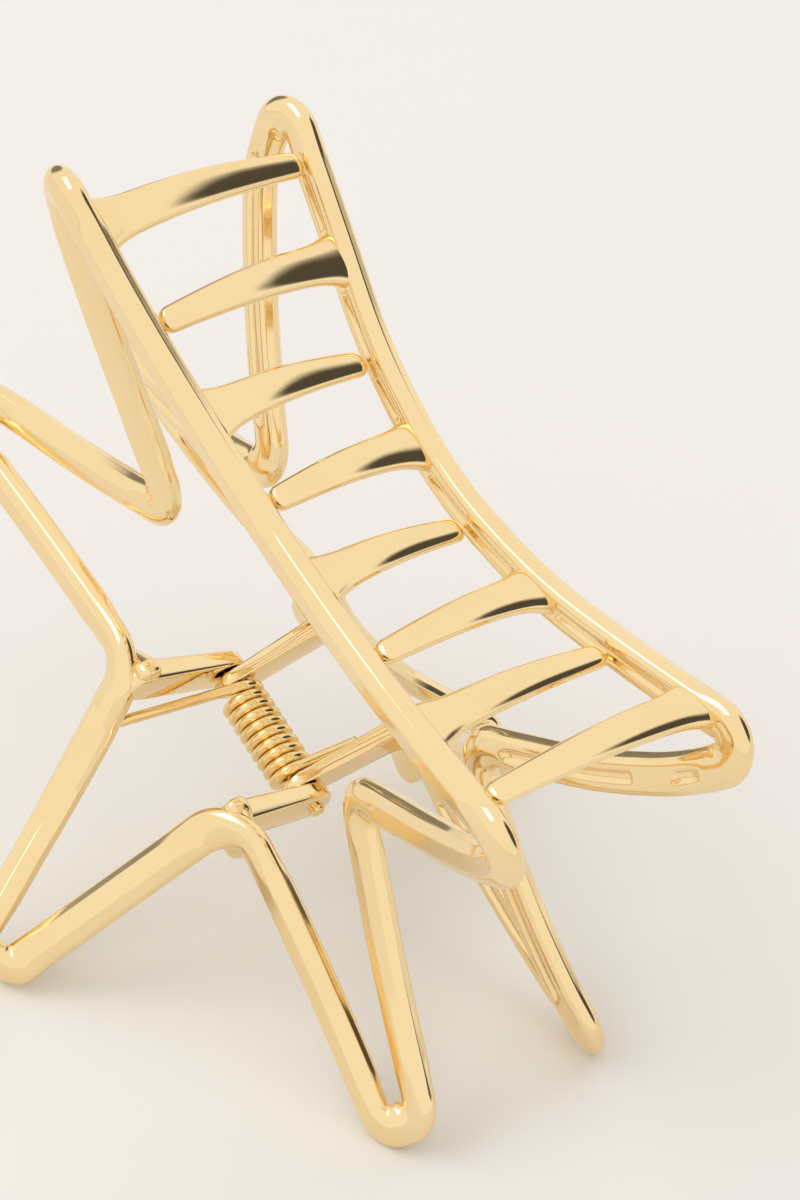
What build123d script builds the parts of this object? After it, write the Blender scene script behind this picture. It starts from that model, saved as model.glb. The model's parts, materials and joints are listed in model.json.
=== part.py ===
"""Metal claw hair clip: two star-shaped die-cast jaws, a hinge pin and a torsion spring.

Clip frame (mm): Y along the hinge pin, Z from the handles to the teeth, X across the two jaws,
origin at the middle of the pin. The right jaw is at +X, the left jaw is its mirror image.
The finished clip is tipped about X until it stands on its two handle tips and its two front
points, and then lifted and shifted so that Z = 0 is the surface that it stands on.
"""

import os
from math import cos, radians, tan

from build123d import *

# ---------------------------------------------------------------- driving dimensions (mm)
ROD_WIDTH = 4.0            # the cast rod, measured in the face of the star
ROD_DEPTH = 2.5            # the same rod, measured through the star
GUIDE_OFFSET = 15          # to the parallel outline that keeps the rod from twisting
REST_TILT = 23.5           # degrees that the clip leans when it stands on its four points

RAIL_HALF = 38.25          # half the toothed rail's span along Y
RAIL_MID = (9.3, 37.8)     # rail centre at Y = 0: distance from the mid plane, height
RAIL_FLARE = (5.6, -1.4)   # how far the rail's ends spread in X (square and fourth power)
RAIL_RISE = (14.0, -3.5)   # how far they rise in Z

TOOTH_PITCH = 9.3          # from a left tooth to the next right tooth
TOOTH_COUNT = 8            # both jaws together, left and right in turn
TOOTH_WIDTH = 3.0
TOOTH_TIP_WIDTH = 2.0
TOOTH_THICK = 1.5
TOOTH_TIP_THINNING = 0.6   # of the root's thickness
TOOTH_BLANK = 10           # half the height that the tooth's plan outline is cut through
TOOTH_ARCH = 1.3           # how far a tooth bows away from the hinge
TOOTH_TIP_GAP = 0.35       # from a tooth's tip to the opposite rail

PIN_RADIUS = 0.8
PIN_HALF = 9.9
PIN_RUNNING_GAP = 0.05     # radial, in the right jaw's lugs
PIN_PRESS = 0.01           # radial, in the left jaw's lugs

LUG_RADIUS = 2.0           # round the pin
LUG_ROOT = (10.9, 4.2)     # X and Z of the lug's other end, inside the frame's lug corner
LUG_ROOT_RADIUS = 1.7
RIGHT_LUG = (5.75, 7.15)   # inner and outer face of each right lug, along Y
LEFT_LUG = (7.35, 9.2)     # the left lugs lie outside them
WEB_X = (10.0, 12.0)       # inner and outer face of the web between a lug and its corner
WEB_TOP = 6.0
WEB_CORNER = (11.8, 2.6)   # Y and Z of the web's outer corner, inside the frame's rod

WIRE = 1.1                 # spring wire diameter
COIL_TURNS = 10
COIL_RADIUS = 1.95         # to the wire's centre
COIL_DROP = 0.35           # the coil hangs a little below the pin
RING_OVERLAP = 0.3         # of the wire's diameter: how far the sleeve reaches into the rings
REAR_LEG_END = (-12.0, 8.0, 1.5)    # against the left jaw's rear handle strut
FRONT_LEG_END = (9.0, -5.06, 1.4)   # beside the right jaw's front lug


def rail_point(y):
    """Centre of the toothed rail at y."""
    s = y / RAIL_HALF
    x = RAIL_MID[0] + RAIL_FLARE[0] * s**2 + RAIL_FLARE[1] * s**4
    z = RAIL_MID[1] + RAIL_RISE[0] * s**2 + RAIL_RISE[1] * s**4
    return (x, y, z)


# The star's closed outline for the right jaw, from the middle of the rail round the back,
# over the handle and up the front: (corner, radius). None means as round as its sides allow.
STAR = [
    (rail_point(0), None),
    (rail_point(14), None),
    (rail_point(27), None),
    ((12.9, 39.8, 48.9), 2.2),       # rear upper point
    ((10.6, 37.0, 41.0), None),
    ((8.5, 29.3, 31.6), None),
    ((5.8, 16.7, 19.0), 3.0),        # rear waist
    ((6.1, 27.5, 11.7), None),
    ((8.0, 43.6, 4.7), 2.1),         # rear side point, a hairpin
    ((10.7, 42.6, 1.1), 2.1),
    ((10.3, 27.0, 2.6), None),
    ((11.3, 10.0, 5.7), 4.5),        # rear lug corner
    ((17.5, 6.4, -5.6), None),
    ((31.1, -2.0, -15.3), 2.1),      # handle tip, a hairpin
    ((29.9, -6.2, -15.3), 2.1),
    ((10.4, -8.4, 6.1), 4.5),        # front lug corner
    ((10.8, -25.0, 2.6), None),
    ((12.3, -41.2, -0.9), 2.1),      # front side point, a hairpin
    ((9.8, -42.7, 2.7), 2.1),
    ((7.7, -28.5, 10.4), None),
    ((6.7, -17.3, 20.6), 3.0),       # front waist
    ((9.0, -29.5, 32.5), None),
    ((11.0, -36.0, 40.6), None),
    ((13.4, -40.2, 49.3), 2.2),      # front upper point
    (rail_point(-27), None),
    (rail_point(-14), None),
]


def corner_radius(before, at, after):
    """The largest radius that leaves both sides of a corner room for their other ends."""
    turn = radians((at - before).get_angle(after - at))
    return 0.45 * min((at - before).length, (after - at).length) / tan(turn / 2)


def closed_outline(corners):
    """A closed wire of straight runs joined by tangent arcs."""
    points = [Vector(*p) for p, _ in corners]
    bends = []
    for i, (_, radius) in enumerate(corners):
        before, at, after = points[i - 1], points[i], points[(i + 1) % len(points)]
        radius = radius or corner_radius(before, at, after)
        turn = radians((at - before).get_angle(after - at))
        back, ahead = (before - at).normalized(), (after - at).normalized()
        cut = radius * tan(turn / 2)
        apex = at + (back + ahead).normalized() * (radius / cos(turn / 2) - radius)
        bends.append((at + back * cut, apex, at + ahead * cut))
    edges = []
    for i, (start, apex, end) in enumerate(bends):
        next_start = bends[(i + 1) % len(bends)][0]
        edges += [ThreePointArc(start, apex, end).edge(), Line(end, next_start).edge()]
    return Wire(edges)


def star_frame():
    """The star: a flattened rod swept round its outline, kept broad in the star's face."""
    path = closed_outline(STAR)
    start, heading = path @ 0, path % 0
    across_rod = heading.cross(Vector(1, 0, 0))
    section = Plane(start, x_dir=across_rod, z_dir=heading) * Ellipse(ROD_WIDTH / 2, ROD_DEPTH / 2)
    return Part() + sweep(section, path=path, binormal=path.moved(Location((GUIDE_OFFSET, 0, 0))))


def tube(path, radius):
    """A round bar along a path."""
    section = Plane(origin=path @ 0, z_dir=path % 0) * Circle(radius)
    return sweep(section, path=path)


def tooth(y):
    """One curved tooth from the right rail at y to just short of the left rail."""
    rail_x, _, rail_z = rail_point(y)
    tip_x = -(rail_x - ROD_DEPTH / 2 - TOOTH_TIP_GAP)
    bow = rail_z + TOOTH_ARCH
    half = TOOTH_THICK / 2
    tip_half = half * TOOTH_TIP_THINNING
    crest_x = rail_x / 3
    top = ThreePointArc((rail_x, rail_z + half), (crest_x, bow + half), (tip_x, rail_z + tip_half))
    bottom = ThreePointArc((tip_x, rail_z - tip_half), (crest_x, bow - half), (rail_x, rail_z - half))
    side = make_face([top, Line(top @ 1, bottom @ 0), bottom, Line(bottom @ 1, top @ 0)])
    bar = extrude(Plane.XZ * side, TOOTH_WIDTH, both=True)
    tip_r = TOOTH_TIP_WIDTH / 2
    plan = make_hull(
        (Pos(rail_x, 0) * Rectangle(ROD_DEPTH / 10, TOOTH_WIDTH)).edges()
        + (Pos(tip_x + tip_r, 0) * Circle(tip_r)).edges()
    )
    blank = extrude(Pos(0, 0, rail_z - TOOTH_BLANK) * plan, 2 * TOOTH_BLANK)
    return Pos(0, y, 0) * (bar & blank)


def teeth(first):
    """Every second tooth, from the rear: the left jaw has the even ones, the right jaw the odd."""
    middle = (TOOTH_COUNT - 1) / 2
    return [tooth((middle - i) * TOOTH_PITCH) for i in range(first, TOOTH_COUNT, 2)]


def lugs(faces, hole_radius):
    """Two flat lugs from the frame's lug corners in to the pin, with the webs that carry them."""
    inner, outer = faces
    outline = make_hull(Circle(LUG_RADIUS).edges() + (Pos(*LUG_ROOT) * Circle(LUG_ROOT_RADIUS)).edges())
    plate = extrude(Plane.XZ * (outline - Circle(hole_radius)), outer - inner)
    rear_plate = Pos(0, outer, 0) * plate
    corner_y, corner_z = WEB_CORNER
    low_z = LUG_ROOT[1] - LUG_ROOT_RADIUS
    web = Polyline(
        (inner, low_z), (inner, WEB_TOP), (corner_y, WEB_TOP), (corner_y, corner_z), (outer, low_z), close=True
    )
    rear_web = Pos(WEB_X[0], 0, 0) * extrude(Plane.YZ * make_face(web), WEB_X[1] - WEB_X[0])
    return [rear_plate, rear_web, mirror(rear_plate, Plane.XZ), mirror(rear_web, Plane.XZ)]


def jaw(frame, first_tooth, faces, hole_radius):
    """One whole casting, on the right-hand side."""
    casting = frame
    for piece in teeth(first_tooth) + lugs(faces, hole_radius):
        casting += piece
    return casting


def spring():
    """Close-wound coil, with one straight leg to each jaw."""
    pitch = WIRE * 1.02
    half = COIL_TURNS * pitch / 2
    sleeve = Rot(X=90) * Cylinder(COIL_RADIUS + WIRE * RING_OVERLAP, 2 * half)
    bore = Rot(X=90) * Cylinder(COIL_RADIUS - WIRE * RING_OVERLAP, 2 * half)
    coil = sleeve - bore
    for i in range(COIL_TURNS):
        y = -half + pitch * (i + 0.5)
        coil += Pos(0, y, 0) * Rot(X=90) * Torus(COIL_RADIUS, WIRE / 2)
    last_ring = half - WIRE / 2
    for side, end in ((1, REAR_LEG_END), (-1, FRONT_LEG_END)):
        coil += tube(Line((0, side * last_ring, -COIL_RADIUS), end), WIRE / 2)
    return Pos(0, 0, -COIL_DROP) * coil


def stand(parts):
    """Leans the finished clip on its four points, over the middle of its own footprint."""
    leaned = {name: Rot(X=REST_TILT) * solid for name, solid in parts.items()}
    boxes = [solid.bounding_box() for solid in leaned.values()]
    low = [min(tuple(b.min)[i] for b in boxes) for i in range(3)]
    high = [max(tuple(b.max)[i] for b in boxes) for i in range(3)]
    lift = Pos(-(low[0] + high[0]) / 2, -(low[1] + high[1]) / 2, -low[2])
    print("hinge centre:", lift.position, "hinge axis:", Vector(0, 1, 0).rotate(Axis.X, REST_TILT))
    return {name: lift * solid for name, solid in leaned.items()}


def main():
    frame = star_frame()
    parts = {
        "left_jaw": mirror(jaw(frame, 0, LEFT_LUG, PIN_RADIUS - PIN_PRESS), Plane.YZ),
        "right_jaw": jaw(frame, 1, RIGHT_LUG, PIN_RADIUS + PIN_RUNNING_GAP),
        "hinge_pin": Part() + Rot(X=90) * Cylinder(PIN_RADIUS, 2 * PIN_HALF),
        "torsion_spring": spring(),
    }
    os.makedirs("parts", exist_ok=True)
    for name, solid in stand(parts).items():
        export_step(solid, f"parts/{name}.step")
        box = solid.bounding_box()
        print(name, len(solid.solids()), "solid,", round(solid.volume, 1), "mm3", box.min, box.max)


if __name__ == "__main__":
    main()
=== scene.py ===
# %% [markdown]
# # A gold claw clip, piece by piece
# A metal claw clip is two open castings, a pin that they turn on, and a spring that shuts them.
# The CAD model already holds the sizes and the hinge. Here each piece gets the surface that a
# polished, plated casting has, and everything is built in the same place as the CAD piece.

# %% Load the frame
import json
import math

import bmesh
import bpy
from mathutils import Matrix, Vector


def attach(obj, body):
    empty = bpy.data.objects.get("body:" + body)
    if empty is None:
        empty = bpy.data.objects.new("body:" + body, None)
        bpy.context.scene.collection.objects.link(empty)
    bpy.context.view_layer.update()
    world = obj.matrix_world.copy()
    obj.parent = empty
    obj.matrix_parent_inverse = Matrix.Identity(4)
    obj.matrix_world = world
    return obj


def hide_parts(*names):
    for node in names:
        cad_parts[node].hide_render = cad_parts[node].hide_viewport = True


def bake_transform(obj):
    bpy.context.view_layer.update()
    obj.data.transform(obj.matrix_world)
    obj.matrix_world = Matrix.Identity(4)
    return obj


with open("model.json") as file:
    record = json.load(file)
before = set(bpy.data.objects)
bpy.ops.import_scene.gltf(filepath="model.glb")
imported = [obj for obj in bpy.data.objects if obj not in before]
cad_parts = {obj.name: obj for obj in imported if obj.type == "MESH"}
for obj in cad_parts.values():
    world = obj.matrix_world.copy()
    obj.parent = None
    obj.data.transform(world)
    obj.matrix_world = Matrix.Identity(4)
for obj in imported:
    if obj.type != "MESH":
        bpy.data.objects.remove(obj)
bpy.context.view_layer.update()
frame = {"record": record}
MM = 0.001
hinge = frame["record"]["behaviour"]["joints"][0]

# %% [markdown]
# The clip is easiest to describe in its own directions: Y along the pin, Z from the handles to
# the teeth, X across the two jaws, with the middle of the pin as zero. The finished clip leans on
# its four points. One matrix, worked out from the hinge joint, carries the first into the second,
# so no piece is ever fitted by eye.

# %% From the clip's own directions to the standing clip
pin_axis = Vector(hinge["axis"]).normalized()
lean = math.atan2(pin_axis.z, pin_axis.y)
CLIP = Matrix.Translation(Vector(hinge["pos_m"])) @ Matrix.Rotation(lean, 4, "X") @ Matrix.Scale(MM, 4)
print("the clip leans", round(math.degrees(lean), 1), "degrees")

# %% [markdown]
# Two helpers make almost every mesh. `skin` joins rings of points into a closed tube, and
# `new_piece` turns the result into an object. Smooth shading lets the reflections run over the
# small faces without a break, which is what the eye reads as polished metal.

# %% Mesh helpers


def skin(mesh, rings, closed):
    """Faces between neighbouring rings; an open tube gets a flat face at each end."""
    made = [[mesh.verts.new(point) for point in ring] for ring in rings]
    count = len(made[0])
    pairs = list(zip(made, made[1:])) + ([(made[-1], made[0])] if closed else [])
    for ring, ahead in pairs:
        for i in range(count):
            j = (i + 1) % count
            mesh.faces.new((ring[i], ring[j], ahead[j], ahead[i]))
    if not closed:
        mesh.faces.new(list(reversed(made[0])))
        mesh.faces.new(made[-1])


def new_piece(name, mesh, mirrored=False):
    """The finished mesh as an object in the standing clip's place."""
    if mirrored:
        mesh.transform(Matrix.Scale(-1, 4, (1, 0, 0)))
    mesh.transform(CLIP)
    bmesh.ops.recalc_face_normals(mesh, faces=mesh.faces)
    data = bpy.data.meshes.new(name)
    mesh.to_mesh(data)
    mesh.free()
    data.shade_smooth()
    piece = bpy.data.objects.new(name, data)
    bpy.context.scene.collection.objects.link(piece)
    print(name, "has", len(data.polygons), "faces")
    return piece


def ease(amount):
    """0 to 1 with a soft start and a soft stop."""
    t = min(max(amount, 0), 1)
    return t * t * (3 - 2 * t)


# %% [markdown]
# ## The star's outline
# Each jaw is one rod bent round a star with five open points: two beside the teeth, two at the
# sides and one that makes the handle. On the real clip it is cast in one go. The outline could be
# a curve object, but we want to know at each place how far the next corner is, because the flat
# facets fade out there. So the corners are a short list, and a function rounds each one with an
# arc that meets both sides smoothly.

# %% Rail, corners and rounded path (mm)
RAIL_HALF = 38.25
ROD_HALF_WIDTH = 2.12
ROD_HALF_DEPTH = 1.36
PATH_STEP = 0.3


def rail_point(y):
    """Centre of the toothed rail at y."""
    s = y / RAIL_HALF
    return (9.3 + 5.6 * s**2 - 1.4 * s**4, y, 37.8 + 14.0 * s**2 - 3.5 * s**4)


STAR = [
    (rail_point(0), None),
    (rail_point(14), None),
    (rail_point(27), None),
    ((12.9, 39.8, 48.9), 2.2),
    ((10.6, 37.0, 41.0), None),
    ((8.5, 29.3, 31.6), None),
    ((5.8, 16.7, 19.0), 3.0),
    ((6.1, 27.5, 11.7), None),
    ((8.0, 43.6, 4.7), 2.1),
    ((10.7, 42.6, 1.1), 2.1),
    ((10.3, 27.0, 2.6), None),
    ((11.3, 10.0, 5.7), 4.5),
    ((17.5, 6.4, -5.6), None),
    ((31.1, -2.0, -15.3), 2.1),
    ((29.9, -6.2, -15.3), 2.1),
    ((10.4, -8.4, 6.1), 4.5),
    ((10.8, -25.0, 2.6), None),
    ((12.3, -41.2, -0.9), 2.1),
    ((9.8, -42.7, 2.7), 2.1),
    ((7.7, -28.5, 10.4), None),
    ((6.7, -17.3, 20.6), 3.0),
    ((9.0, -29.5, 32.5), None),
    ((11.0, -36.0, 40.6), None),
    ((13.4, -40.2, 49.3), 2.2),
    (rail_point(-27), None),
    (rail_point(-14), None),
]


def arc_reach(points, radii):
    """How far each corner's arc reaches along its sides; a free corner takes the room that is left."""
    count = len(points)
    sides = [(points[i - 1], points[i], points[(i + 1) % count]) for i in range(count)]
    turns = [(at - before).angle(after - at) for before, at, after in sides]
    fixed = [radius * math.tan(turn / 2) if radius else None for radius, turn in zip(radii, turns)]
    reach = []
    for i in range(count):
        rooms = []
        for j in (i - 1, (i + 1) % count):
            side = (points[j] - points[i]).length
            rooms.append(side / 2 if fixed[j] is None else side - fixed[j])
        reach.append(0.9 * min(rooms) if fixed[i] is None else fixed[i])
    return reach, turns


def rounded(corners):
    """Points round the outline, each with a flag that says whether a tight corner is there."""
    points = [Vector(p) for p, _ in corners]
    reach, turns = arc_reach(points, [radius for _, radius in corners])
    bends = []
    for i, (cut, turn) in enumerate(zip(reach, turns)):
        at = points[i]
        back = (points[i - 1] - at).normalized()
        ahead = (points[(i + 1) % len(points)] - at).normalized()
        radius = cut / math.tan(turn / 2)
        centre = at + (back + ahead).normalized() * (radius / math.cos(turn / 2))
        bends.append((at + back * cut, at + ahead * cut, centre, turn, radius, bool(corners[i][1])))
    path = []
    for i, (start, end, centre, turn, radius, tight) in enumerate(bends):
        a, b = start - centre, end - centre
        steps = max(4, round(radius * turn / PATH_STEP))
        for k in range(steps + 1):
            t = k / steps
            spoke = (a * math.sin((1 - t) * turn) + b * math.sin(t * turn)) / math.sin(turn)
            path.append((centre + spoke, tight))
        run = bends[(i + 1) % len(bends)][0] - end
        steps = max(1, round(run.length / PATH_STEP))
        path += [(end + run * (k / steps), False) for k in range(1, steps)]
    return path


outline = rounded(STAR)
print("the star's outline has", len(outline), "stations")

# %% [markdown]
# ## The rod's section
# A die-cast rod is never a plain tube. Its outer side has a broad flat with a bevel along each
# edge, its inner side is flatter with a shallow groove, and both melt into a plain round where
# the rod turns a corner. We get that by drawing each ring of points twice, once as an ellipse and
# once as a faceted outline, and sliding between the two with the distance to the nearest corner.

# %% One ring of the rod
RING = 72
FACETS = [(2.12, -0.1), (1.84, 0.55), (1.05, 1.18), (-0.8, 1.36), (-1.82, 0.68), (-2.12, -0.1),
          (-1.84, -0.9), (-1.3, -1.3), (1.3, -1.3), (1.84, -0.9)]
GROOVE_HALF = 0.62
GROOVE_DEPTH = 0.42


def on_facets(direction):
    """Where a ray from the rod's centre meets the faceted outline."""
    for (ax, ay), (bx, by) in zip(FACETS, FACETS[1:] + FACETS[:1]):
        ex, ey = bx - ax, by - ay
        cross = direction[0] * ey - direction[1] * ex
        if abs(cross) < 1e-9:
            continue
        reach = (ax * ey - ay * ex) / cross
        along = (ax * direction[1] - ay * direction[0]) / cross
        if reach > 0 and -1e-9 <= along <= 1 + 1e-9:
            return (direction[0] * reach, direction[1] * reach)
    raise ValueError("the faceted outline is not closed")


round_ring, facet_ring = [], []
for i in range(RING):
    angle = 2 * math.pi * i / RING
    oval = (ROD_HALF_WIDTH * math.cos(angle), ROD_HALF_DEPTH * math.sin(angle))
    round_ring.append(oval)
    facet_ring.append(on_facets(oval))
print("each ring has", RING, "points")


def rod_section(facets, groove):
    """(across, outwards) for each point of one ring."""
    ring = []
    for (ru, rv), (fu, fv) in zip(round_ring, facet_ring):
        u, v = ru + (fu - ru) * facets, rv + (fv - rv) * facets
        if v < 0 and abs(u) < GROOVE_HALF:
            v += groove * GROOVE_DEPTH * ease((1 - abs(u) / GROOVE_HALF) * 2)
        ring.append((u, v))
    return ring


# %% [markdown]
# The groove stops where a tooth grows out of the rail, so the inner side of the rail shows a row
# of shallow pockets. That needs the places of the teeth: one every 9.3 mm, left and right in turn.

# %% Sweep the rod round the star
TOOTH_PITCH = 9.3
TOOTH_COUNT = 8
FACET_FADE = 4.0      # from a corner to where the facets are full
GROOVE_START = 1.5    # from a corner to the groove's end, and then to its full depth
POCKET_GAP = 2.6      # from the middle of a tooth to the end of a pocket
POCKET_END = 0.5      # length over which a pocket's floor comes up
RAIL_FOOT = 36        # the outline above this height is the rail


def tooth_places(first):
    """Y of every second tooth."""
    middle = (TOOTH_COUNT - 1) / 2
    return [(middle - i) * TOOTH_PITCH for i in range(first, TOOTH_COUNT, 2)]


def corner_distance(path):
    """For each station, the distance along the rod to the nearest tight corner."""
    count = len(path)
    lengths = [(path[i][0] - path[i - 1][0]).length for i in range(count)]
    away = [0 if tight else 1e6 for _, tight in path]
    for _ in range(2):
        for i in range(count):
            away[i] = min(away[i], away[i - 1] + lengths[i])
        for i in reversed(range(count)):
            away[i] = min(away[i], away[(i + 1) % count] + lengths[(i + 1) % count])
    return away


def add_star(mesh, first_tooth):
    """The faceted rod, all the way round."""
    away = corner_distance(outline)
    rings = []
    for i, (point, _) in enumerate(outline):
        heading = (outline[(i + 1) % len(outline)][0] - outline[i - 1][0]).normalized()
        across = heading.cross(Vector((1, 0, 0))).normalized()
        outwards = across.cross(heading).normalized()
        facets = ease(away[i] / FACET_FADE)
        groove = ease((away[i] - GROOVE_START) / GROOVE_START)
        if point.z > RAIL_FOOT:
            nearest = min(abs(point.y - y) for y in tooth_places(first_tooth))
            groove *= ease((nearest - POCKET_GAP) / POCKET_END)
        ring = rod_section(facets, groove)
        rings.append([point + across * u + outwards * v for u, v in ring])
    skin(mesh, rings, closed=True)


# %% [markdown]
# ## Teeth
# A tooth is broad and smooth on top, flares where it grows out of the rail and thins to a rounded
# tip just short of the other rail. It bows away from the head a little. Each is a loft: ovals
# along a shallow arc, wider at the root and closed off at the tip like the end of a finger.

# %% Loft the teeth
TIP_GAP = 0.35
TOOTH_ARCH = 1.5
TOOTH_STATIONS = 44
TOOTH_RING = 40
TOOTH_TILT = 0.7           # share of the rail's slope that a tooth leans by
TOOTH_LIFT = 0.25          # teeth sit a little proud of the rail's middle
ROOT_HALF = (2.05, 0.9)    # half width and half thickness at the root
TIP_LOSS = (0.85, 0.22)    # how much less of each there is at the tip
FLARE = (0.9, 0.3)         # how much more of each there is inside the rail
FLARE_REACH = 2.4
TIP_ROUND = 1.1            # length of the rounded tip


def rail_slope(y):
    """Rise of the rail for each millimetre along it."""
    return rail_point(y + 0.5)[2] - rail_point(y - 0.5)[2]


def add_tooth(mesh, y):
    """One tooth of the right jaw, from its rail at y towards the left."""
    rail_x, _, rail_z = rail_point(y)
    tip_x = -(rail_x - ROD_HALF_DEPTH - TIP_GAP)
    length = rail_x - tip_x
    rings = []
    tilt = TOOTH_TILT * rail_slope(y)
    for k in range(TOOTH_STATIONS + 1):
        t = 1 - (1 - k / TOOTH_STATIONS) ** 1.6
        x = rail_x - length * t
        z = rail_z + TOOTH_LIFT + TOOTH_ARCH * math.sin(math.pi * t**0.9)
        flare = math.exp(-((t * length) / FLARE_REACH) ** 2)
        past = max(0, (t * length - length + TIP_ROUND) / TIP_ROUND)
        tip = math.sqrt(max(1e-4, 1 - past**2))
        half_width = (ROOT_HALF[0] - TIP_LOSS[0] * t**1.3 + FLARE[0] * flare) * tip
        half_thick = (ROOT_HALF[1] - TIP_LOSS[1] * t + FLARE[1] * flare) * tip
        ring = []
        for i in range(TOOTH_RING):
            angle = 2 * math.pi * i / TOOTH_RING
            c, s = math.cos(angle), math.sin(angle)
            u = math.copysign(abs(c) ** 0.8, c) * half_width
            v = math.copysign(abs(s) ** 0.9, s) * half_thick
            ring.append(Vector((x, y + u - v * tilt, z + v + u * tilt)))
        rings.append(ring)
    skin(mesh, rings, closed=False)


# %% [markdown]
# ## Lugs
# The lugs are the only part of a jaw that has to fit something: two flat ears with a hole that
# the pin goes through. An ear is a flat plate, round at the pin, that thickens where it meets the
# star. A small bevel on every edge is what makes a cast plate catch a line of light.

# %% Build the lugs
LUG_RADIUS = 2.0
LUG_ROOT = (10.9, 4.2)
LUG_ROOT_RADIUS = 1.75
LUG_BEVEL = 0.28
LUG_FACES = {"left": (7.35, 9.2), "right": (5.75, 7.15)}
LUG_FLARE = 0.7
ARC_STEPS = 24
# Where each ring of a plate lies, in sixths of its thickness, and how far it is drawn in.
PLATE_RINGS = [(0, LUG_BEVEL), (0.3, 0.08), (1, 0), (5, 0), (5.7, 0.08), (6, LUG_BEVEL)]


def lug_outline():
    """A plate round the pin and round its root, joined by straight sides."""
    root = Vector((LUG_ROOT[0], 0, LUG_ROOT[1]))
    heading = math.atan2(root.z, root.x)
    spread = math.acos((LUG_RADIUS - LUG_ROOT_RADIUS) / root.length)
    points = []
    for i in range(ARC_STEPS + 1):
        angle = heading + spread + (2 * math.pi - 2 * spread) * i / ARC_STEPS
        points.append(Vector((math.cos(angle), 0, math.sin(angle))) * LUG_RADIUS)
    for i in range(ARC_STEPS + 1):
        angle = heading - spread + 2 * spread * i / ARC_STEPS
        points.append(root + Vector((math.cos(angle), 0, math.sin(angle))) * LUG_ROOT_RADIUS)
    return points


def add_lug(mesh, inner, outer, side):
    """One lug; its outer face leans out towards the star."""
    plate_rings = []
    middle = lug_outline()
    centre = Vector((LUG_ROOT[0] / 2, 0, LUG_ROOT[1] / 2))
    for depth, shrink in PLATE_RINGS:
        inset = 1 - shrink / LUG_RADIUS
        ring = []
        for point in middle:
            flat = centre + (point - centre) * inset
            swell = LUG_FLARE * ease(point.x / LUG_ROOT[0] * 1.3 - 0.3)
            y = inner + (outer + swell - inner) * depth / 6
            ring.append(Vector((flat.x, side * y, flat.z)))
        plate_rings.append(ring)
    skin(mesh, plate_rings, closed=False)


WEB_X = (9.3, 11.7)
# Each ring's place across the web, and how much it is drawn in.
WEB_RINGS = [(WEB_X[0], 0.22), (WEB_X[0] + 0.12, 0.1), (WEB_X[0] + 0.4, 0.02), (WEB_X[0] + 0.8, 0),
             (WEB_X[1] - 0.9, 0), (WEB_X[1] - 0.5, 0.05), (WEB_X[1] - 0.2, 0.14), (WEB_X[1], 0.3)]
WEB_OUTLINE = [((0, 7.0), 0.6), ((9.0, 6.9), 1.2), ((12.0, 4.6), 1.6), ((11.4, 0.8), 1.2),
               ((9.6, 0.6), 1.0), ((0, 2.4), 0.6)]


def add_web(mesh, inner, side):
    """The thick place where a lug runs into the corner of the star."""
    corners = [((0, y or inner + 0.15, z), radius) for (y, z), radius in WEB_OUTLINE]
    flat = [point for point, _ in rounded(corners)]
    centre = sum(flat, Vector()) / len(flat)
    rings = []
    for x, shrink in WEB_RINGS:
        ring = []
        for point in flat:
            inset = centre + (point - centre) * (1 - shrink)
            ring.append(Vector((x, side * inset.y, inset.z)))
        rings.append(ring)
    skin(mesh, rings, closed=False)


# %% [markdown]
# ## The two castings
# Rod, teeth, lugs and webs run into each other, so one mesh holds them all, as one casting does.
# The left jaw is the right one mirrored, with its own teeth and its own pair of lugs. The left
# lugs lie outside the right ones, so the pin can go through all four.

# %% Put each casting together


def make_jaw(name, hand, first_tooth, mirrored):
    """One whole casting."""
    mesh = bmesh.new()
    add_star(mesh, first_tooth)
    for y in tooth_places(first_tooth):
        add_tooth(mesh, y)
    inner, outer = LUG_FACES[hand]
    for side in (1, -1):
        add_lug(mesh, inner, outer, side)
        add_web(mesh, inner, side)
    return new_piece(name, mesh, mirrored)


left_casting = make_jaw("left_casting", "left", 0, mirrored=True)
right_casting = make_jaw("right_casting", "right", 1, mirrored=False)

# %% [markdown]
# ## Pin and spring
# The pin is a short piece of plated wire with its ends rounded over. The spring is wound round
# it: nine close turns, then a straight leg to each jaw. A real spring is one wire, so ours is one
# tube along one path, leg, helix and leg. It is attached to neither jaw and stays where it is
# built.

# %% A round bar along a list of points
WIRE_SIDES = 20


def add_bar(mesh, path, radius):
    """A round bar along the path, with a flat face at each end. radius may be a list, one for each
    point, which is how the pin's ends get rounded over.
    """
    radii = radius if isinstance(radius, list) else [radius] * len(path)
    rings = []
    side = None
    for i, point in enumerate(path):
        heading = (path[min(i + 1, len(path) - 1)] - path[max(i - 1, 0)]).normalized()
        if side is None:
            side = heading.orthogonal().normalized()
        side = (side - heading * side.dot(heading)).normalized()
        other = heading.cross(side)
        turns = [2 * math.pi * k / WIRE_SIDES for k in range(WIRE_SIDES)]
        rings.append([point + (side * math.cos(a) + other * math.sin(a)) * radii[i] for a in turns])
    skin(mesh, rings, closed=False)


# %% The hinge pin
PIN_RADIUS = 0.8
PIN_HALF = 9.9
PIN_ROUND = 0.35
END_STEPS = 6


def make_pin():
    """Straight wire, rounded over at both ends."""
    places = []
    for k in range(END_STEPS + 1):
        angle = math.pi / 2 * k / END_STEPS
        places.append((PIN_HALF - PIN_ROUND + PIN_ROUND * math.cos(angle),
                       PIN_RADIUS - PIN_ROUND + PIN_ROUND * math.sin(angle)))
    whole = places + [(-y, radius) for y, radius in reversed(places)]
    mesh = bmesh.new()
    add_bar(mesh, [Vector((0, y, 0)) for y, _ in whole], [radius for _, radius in whole])
    return new_piece("pin_wire", mesh)


pin = make_pin()

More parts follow.
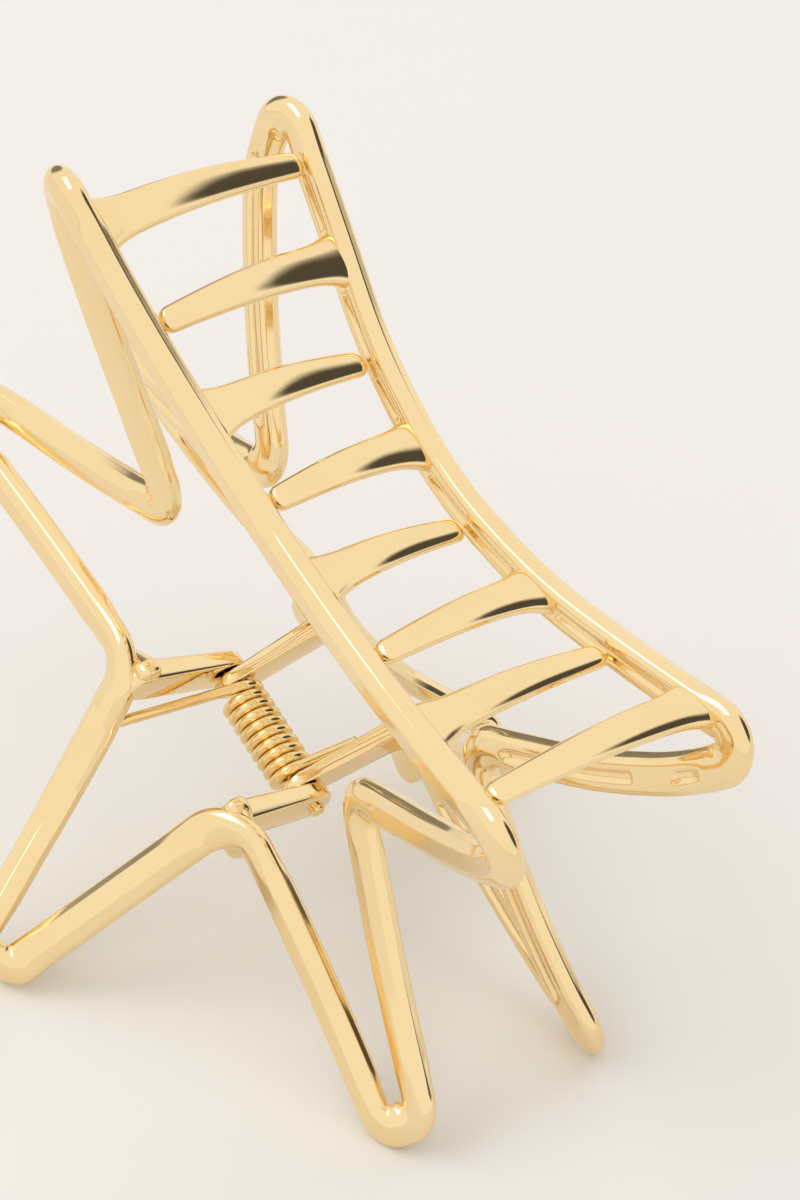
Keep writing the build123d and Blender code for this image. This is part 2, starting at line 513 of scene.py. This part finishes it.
# %% The torsion spring
WIRE = 1.1
PITCH_TO_WIRE = 1.02   # the turns all but touch
COIL_RADIUS = 1.95
COIL_TURNS = 9
COIL_DROP = 0.35
TURN_STEPS = 48
LEG_STEPS = (14, 10)   # rear leg, front leg
REAR_LEG_END = Vector((-12.9, 7.6, -0.5))
FRONT_LEG_END = Vector((7.0, -5.06, 2.0))


def make_spring():
    """Leg, close helix and leg as one wire."""
    pitch = WIRE * PITCH_TO_WIRE
    half = COIL_TURNS * pitch / 2
    helix = []
    for k in range(COIL_TURNS * TURN_STEPS + 1):
        turn = k / TURN_STEPS
        angle = 2 * math.pi * turn
        x, z = COIL_RADIUS * math.sin(angle), COIL_RADIUS * math.cos(angle)
        helix.append(Vector((x, half - pitch * turn, z)))
    rear_steps, front_steps = LEG_STEPS
    rear = [helix[0].lerp(REAR_LEG_END, 1 - k / rear_steps) for k in range(rear_steps)]
    front = [helix[-1].lerp(FRONT_LEG_END, k / front_steps) for k in range(1, front_steps + 1)]
    path = [point - Vector((0, 0, COIL_DROP)) for point in rear + helix + front]
    mesh = bmesh.new()
    add_bar(mesh, path, WIRE / 2)
    return new_piece("spring_wire", mesh), half


spring, coil_half = make_spring()

# %% [markdown]
# ## Gold plating
# The castings are a zinc alloy, polished and plated with a pale gold. Plating follows every
# ripple of the polish, so the eye sees a clear mirror with very slight waves, a little softer in
# some places than in others. Metal keeps the default IOR: its colour comes from the base colour.

# %% Materials


def linear(hex_colour):
    """An sRGB hex colour as linear RGBA."""
    channels = [int(hex_colour[i:i + 2], 16) / 255 for i in (1, 3, 5)]
    return tuple(c / 12.92 if c <= 0.04045 else ((c + 0.055) / 1.055) ** 2.4 for c in channels) + (1,)


def add_node(tree, kind, settings=(), inputs=()):
    """Adds a node; an input is given as a value or as the socket it is linked to."""
    node = tree.nodes.new(kind)
    for name, value in dict(settings).items():
        setattr(node, name, value)
    for name, value in dict(inputs).items():
        if isinstance(value, bpy.types.NodeSocket):
            tree.links.new(value, node.inputs[name])
        else:
            node.inputs[name].default_value = value
    return node


def plated(name, pale, deep, roughness, ripple_mm, ripple_height_mm):
    """Polished metal under thin gold, with the waves that hand polishing leaves."""
    material = bpy.data.materials.new(name)
    material.use_nodes = True
    tree = material.node_tree
    shader = tree.nodes["Principled BSDF"]
    place = add_node(tree, "ShaderNodeTexCoord").outputs["Object"]
    waves = add_node(tree, "ShaderNodeTexNoise", inputs={
        "Vector": place, "Scale": 1 / (ripple_mm * MM), "Detail": 1.0, "Roughness": 0.4})
    clouds = add_node(tree, "ShaderNodeTexNoise", inputs={
        "Vector": place, "Scale": 1 / (6 * ripple_mm * MM), "Detail": 2.0})
    tone = add_node(tree, "ShaderNodeMix", {"data_type": "RGBA"}, {"Factor": clouds.outputs["Fac"]})
    tone.inputs["A"].default_value = linear(pale)
    tone.inputs["B"].default_value = linear(deep)
    tree.links.new(tone.outputs["Result"], shader.inputs["Base Color"])
    polish = add_node(tree, "ShaderNodeMapRange", inputs={
        "Value": clouds.outputs["Fac"], "From Min": 0.3, "From Max": 0.7,
        "To Min": roughness * 0.8, "To Max": roughness * 1.3})
    tree.links.new(polish.outputs["Result"], shader.inputs["Roughness"])
    bump = add_node(tree, "ShaderNodeBump", inputs={
        "Height": waves.outputs["Fac"], "Distance": ripple_height_mm * MM, "Strength": 1.0})
    tree.links.new(bump.outputs["Normal"], shader.inputs["Normal"])
    shader.inputs["Metallic"].default_value = 1.0
    print(name, "made")
    return material


casting_gold = plated("polished_gold_plate_on_zinc", "#FAE4B6", "#F5D9A2", 0.08, 2.5, 0.012)
wire_gold = plated("gold_plate_on_spring_steel", "#F7DCA4", "#F0CF8E", 0.11, 0.8, 0.004)

# %% [markdown]
# ## Join the pieces to the frame
# Every piece stands for one CAD node and takes its material; the castings and the pin ride on their
# node's body, and the spring rides on none.

# %% Bodies, nodes and finishes
for piece, node, body, finish, material in (
    (left_casting, "left_jaw", "left_half", "plated_casting", casting_gold),
    (right_casting, "right_jaw", "right_half", "plated_casting", casting_gold),
    (pin, "hinge_pin", "left_half", "plated_pin", wire_gold),
):
    piece.data.materials.append(material)
    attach(piece, body)
    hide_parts(node)

spring.data.materials.append(wire_gold)
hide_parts("torsion_spring")
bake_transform(spring)

# %% [markdown]
# ## Floor, light and camera
# Polished metal looks like what is around it. A studio for jewellery is a white tent with a few
# dark cards: the white gives the pale gold, and the cards give the brown shadows that show the
# shape. Our world is such a tent, and the camera itself sees only its plain white.

# %% Floor
floor_material = bpy.data.materials.new("warm_white_paper")
floor_material.use_nodes = True
paper = floor_material.node_tree.nodes["Principled BSDF"]
grain = add_node(floor_material.node_tree, "ShaderNodeTexNoise", inputs={"Scale": 900.0, "Detail": 3.0})
fleck = add_node(floor_material.node_tree, "ShaderNodeMapRange", inputs={
    "Value": grain.outputs["Fac"], "To Min": 0.85, "To Max": 1.0})
floor_material.node_tree.links.new(fleck.outputs["Result"], paper.inputs["Roughness"])
paper.inputs["Base Color"].default_value = linear("#F4F3F3")
FLOOR_HALF = 3.0
bpy.ops.mesh.primitive_plane_add(size=2 * FLOOR_HALF, location=(0, 0, 0))
floor = bpy.context.object
floor.name = "floor"
floor.data.materials.append(floor_material)
print("floor ready")

# %% White tent with dark cards
world = bpy.data.worlds.new("tent")
bpy.context.scene.world = world
world.use_nodes = True
tent = world.node_tree
background = tent.nodes["Background"]
ray = add_node(tent, "ShaderNodeTexCoord").outputs["Generated"]
WHITE = 1.0
# Direction of each card, where its soft edge starts and ends, and how dark it is.
CARDS = [((0.74, -0.46, 0.46), 0.87, 0.95, 0.08), ((0.1, 0.98, 0.2), 0.90, 0.96, 0.25)]
level = None
for direction, edge, core, darkness in CARDS:
    aim = Vector(direction).normalized()
    facing = add_node(tent, "ShaderNodeVectorMath", {"operation": "DOT_PRODUCT"}, {0: ray, 1: aim})
    card = add_node(tent, "ShaderNodeMapRange", {"interpolation_type": "SMOOTHSTEP"}, {
        "Value": facing.outputs["Value"], "From Min": edge, "From Max": core,
        "To Min": WHITE, "To Max": darkness})
    if level is None:
        level = card.outputs["Result"]
    else:
        both = add_node(tent, "ShaderNodeMath", {"operation": "MULTIPLY"}, {
            0: level, 1: card.outputs["Result"]})
        level = both.outputs["Value"]
seen = add_node(tent, "ShaderNodeLightPath").outputs["Is Camera Ray"]
plain = add_node(tent, "ShaderNodeMath", {"operation": "MAXIMUM"}, {0: seen, 1: level})
tent.links.new(plain.outputs["Value"], background.inputs["Strength"])
background.inputs["Color"].default_value = linear("#FFFBF4")
print("tent with", len(CARDS), "dark cards")

# %% Soft lamp
lamp_data = bpy.data.lights.new("softbox", "AREA")
lamp_data.shape = "RECTANGLE"
lamp_data.size, lamp_data.size_y = 0.9, 0.6
lamp_data.energy = 3.0
lamp = bpy.data.objects.new("softbox", lamp_data)
bpy.context.scene.collection.objects.link(lamp)
lamp.location = (-0.8, 0.5, 1.2)
aim_at = Vector((0, 0, 0.04)) - lamp.location
lamp.rotation_euler = aim_at.to_track_quat("-Z", "Y").to_euler()
print("softbox at", tuple(round(value, 2) for value in lamp.location))

# %% [markdown]
# The camera is a long lens about 36 cm away, looking down on the teeth with the near end of the
# pin lowest. Its place and its right and up directions are given in the clip's own directions.
# The plain view transform keeps the gold as warm as it really is.

# %% Camera
EYE = Vector((-160.8, -124.5, 296.6))
RIGHT = Vector((0.80948, -0.52516, 0.26257))
UP = Vector((0.32464, 0.77295, 0.54511))
turn_clip = Matrix.Rotation(lean, 3, "X")
right, up = turn_clip @ RIGHT, turn_clip @ UP
look = Matrix((right, up, right.cross(up))).transposed().to_4x4()
camera_data = bpy.data.cameras.new("camera")
camera_data.sensor_fit = "VERTICAL"
camera_data.sensor_height = 36
camera_data.lens = 108.95
camera = bpy.data.objects.new("camera", camera_data)
camera.matrix_world = Matrix.Translation(CLIP @ EYE) @ look
bpy.context.scene.collection.objects.link(camera)
bpy.context.scene.camera = camera
bpy.context.scene.view_settings.view_transform = "Standard"
print("camera", round(EYE.length), "mm from the pin")
